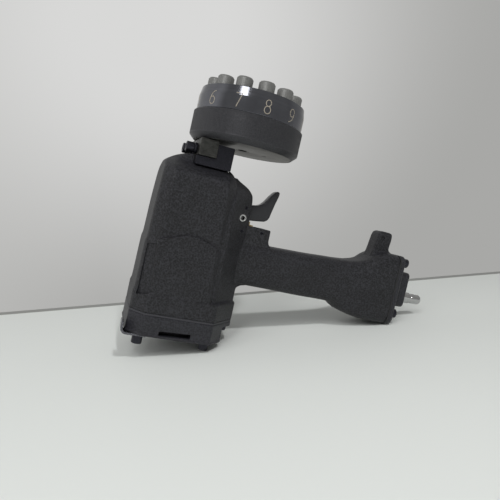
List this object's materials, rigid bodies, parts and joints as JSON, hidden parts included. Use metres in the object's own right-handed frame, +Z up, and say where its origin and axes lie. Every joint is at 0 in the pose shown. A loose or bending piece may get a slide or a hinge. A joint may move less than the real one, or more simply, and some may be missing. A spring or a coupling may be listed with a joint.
{
  "type": "pneumatic nameplate marking gun",
  "caption": "Air-driven hand marking gun: piston in a cast body, trigger on the handle and a turret of number punches turned by hand over the rod's nose.",
  "frame": {"origin": "centre of the bounding box, on the bench", "axes": "+Z up, +X towards the handle and its air inlet, +Y away from the near side. The gun leans about +Y as it stands on a bench, so its cylinder's axis points up and towards +X"},
  "size_m": [0.3504, 0.115, 0.2733],
  "materials": {
    "aluminium": "turned, bare",
    "black_oxide": "black oxide",
    "blued_steel": "blued and polished",
    "bracket_steel": "milled grey steel",
    "brass": "turned brass",
    "bright_steel": "bright plated steel",
    "brushed_plate": "turned with fine rings",
    "cap_black": "cast, with a black coat finer than the housing's",
    "cast_black": "cast, with a black wrinkle coat",
    "punch_steel": "dark tool steel",
    "rubber": "black rubber",
    "spring_steel": "spring wire",
    "trigger_black": "smooth black",
    "turret_steel": "dark turned and knurled steel"
  },
  "bodies": {
    "gun": {"main_housing": "cast_black", "rear_cap": "cap_black", "rear_cap_gasket": "rubber", "cap_screw_near_left": "black_oxide", "cap_screw_far_left": "black_oxide", "cap_screw_near_right": "black_oxide", "cap_screw_far_right": "black_oxide", "cap_screw_front": "black_oxide", "hook_clip": "black_oxide", "cylinder_sleeve": "aluminium", "sleeve_collar": "rubber", "bumper": "rubber", "head_valve_spring": "spring_steel", "nose_block": "black_oxide", "turret_bracket": "bracket_steel", "bracket_washer_near": "black_oxide", "bracket_screw_near": "black_oxide", "bracket_washer_far": "black_oxide", "bracket_screw_far": "black_oxide", "turret_base_plate": "brushed_plate", "detent_screw": "black_oxide", "detent_spring": "spring_steel", "turret_axle": "bright_steel", "trigger_pivot_sleeve": "bright_steel", "roll_pin_1": "black_oxide", "roll_pin_2": "black_oxide", "roll_pin_3": "black_oxide", "trigger_valve_body": "brass", "valve_spring": "spring_steel", "valve_end_ring": "brass", "end_cap_gasket": "rubber", "handle_end_cap": "cap_black", "end_screw_upper_near": "black_oxide", "end_screw_upper_far": "black_oxide", "end_screw_lower_near": "black_oxide", "end_screw_lower_far": "black_oxide", "air_plug": "bright_steel"},
    "turret": {"knurled_wheel": "turret_steel", "digit_ring": "blued_steel", "punch_keeper_ring": "rubber"},
    "piston": {"piston": "aluminium", "piston_ring": "rubber"},
    "head_valve": {"head_valve": "aluminium"},
    "trigger": {"trigger": "trigger_black"},
    "valve_stem": {"valve_stem": "brass"},
    "detent_ball": {"detent_ball": "bright_steel"},
    "punch_00_slide": {"punch_00": "punch_steel"},
    "punch_01_slide": {"punch_01": "punch_steel"},
    "punch_02_slide": {"punch_02": "punch_steel"},
    "punch_03_slide": {"punch_03": "punch_steel"},
    "punch_04_slide": {"punch_04": "punch_steel"},
    "punch_05_slide": {"punch_05": "punch_steel"},
    "punch_06_slide": {"punch_06": "punch_steel"},
    "punch_07_slide": {"punch_07": "punch_steel"},
    "punch_08_slide": {"punch_08": "punch_steel"},
    "punch_09_slide": {"punch_09": "punch_steel"},
    "punch_10_slide": {"punch_10": "punch_steel"},
    "punch_11_slide": {"punch_11": "punch_steel"}
  },
  "joints": [
    {"name": "turret_turn", "type": "hinge", "parent": "gun", "child": "turret", "pos_m": [-0.03893, 0, 0.19946], "axis": [0.2633, 0, 0.9647], "continuous": true},
    {"name": "piston_stroke", "type": "slide", "parent": "gun", "child": "piston", "axis": [0.2633, 0, 0.9647], "range_m": [0, 0.07]},
    {"name": "head_valve_lift", "type": "slide", "parent": "gun", "child": "head_valve", "axis": [0.2633, 0, 0.9647], "range_m": [-0.004, 0], "stiffness_N_per_m": 1500, "springref_m": 0.003, "deforming": ["head_valve_spring"]},
    {"name": "trigger_pivot", "type": "hinge", "parent": "gun", "child": "trigger", "pos_m": [-0.04721, 0, 0.13113], "axis": [0, 1, 0], "range_deg": [0, 11], "stiffness_Nm_per_rad": 0.6, "springref_deg": -4.58},
    {"name": "valve_stem_press", "type": "slide", "parent": "gun", "child": "valve_stem", "axis": [-0.2633, 0, -0.9647], "range_m": [0, 0.0029], "deforming": ["valve_spring"]},
    {"name": "detent_ball_press", "type": "slide", "parent": "gun", "child": "detent_ball", "axis": [0.2633, 0, 0.9647], "range_m": [-0.0012, 0], "stiffness_N_per_m": 800, "springref_m": 0.0005, "deforming": ["detent_spring"]},
    {"name": "punch_00_strike", "type": "slide", "parent": "turret", "child": "punch_00_slide", "axis": [0.2633, 0, 0.9647], "range_m": [0, 0.004], "stiffness_N_per_m": 250},
    {"name": "punch_01_strike", "type": "slide", "parent": "turret", "child": "punch_01_slide", "axis": [0.2633, 0, 0.9647], "range_m": [0, 0.004], "stiffness_N_per_m": 250},
    {"name": "punch_02_strike", "type": "slide", "parent": "turret", "child": "punch_02_slide", "axis": [0.2633, 0, 0.9647], "range_m": [0, 0.004], "stiffness_N_per_m": 250},
    {"name": "punch_03_strike", "type": "slide", "parent": "turret", "child": "punch_03_slide", "axis": [0.2633, 0, 0.9647], "range_m": [0, 0.004], "stiffness_N_per_m": 250},
    {"name": "punch_04_strike", "type": "slide", "parent": "turret", "child": "punch_04_slide", "axis": [0.2633, 0, 0.9647], "range_m": [0, 0.004], "stiffness_N_per_m": 250},
    {"name": "punch_05_strike", "type": "slide", "parent": "turret", "child": "punch_05_slide", "axis": [0.2633, 0, 0.9647], "range_m": [0, 0.004], "stiffness_N_per_m": 250},
    {"name": "punch_06_strike", "type": "slide", "parent": "turret", "child": "punch_06_slide", "axis": [0.2633, 0, 0.9647], "range_m": [0, 0.004], "stiffness_N_per_m": 250},
    {"name": "punch_07_strike", "type": "slide", "parent": "turret", "child": "punch_07_slide", "axis": [0.2633, 0, 0.9647], "range_m": [0, 0.004], "stiffness_N_per_m": 250},
    {"name": "punch_08_strike", "type": "slide", "parent": "turret", "child": "punch_08_slide", "axis": [0.2633, 0, 0.9647], "range_m": [0, 0.004], "stiffness_N_per_m": 250},
    {"name": "punch_09_strike", "type": "slide", "parent": "turret", "child": "punch_09_slide", "axis": [0.2633, 0, 0.9647], "range_m": [0, 0.004], "stiffness_N_per_m": 250},
    {"name": "punch_10_strike", "type": "slide", "parent": "turret", "child": "punch_10_slide", "axis": [0.2633, 0, 0.9647], "range_m": [0, 0.004], "stiffness_N_per_m": 250},
    {"name": "punch_11_strike", "type": "slide", "parent": "turret", "child": "punch_11_slide", "axis": [0.2633, 0, 0.9647], "range_m": [0, 0.004], "stiffness_N_per_m": 250}
  ],
  "couplings": [
    {"joint": "valve_stem_press", "follows": "trigger_pivot", "m_per_rad": 0.0135}
  ]
}
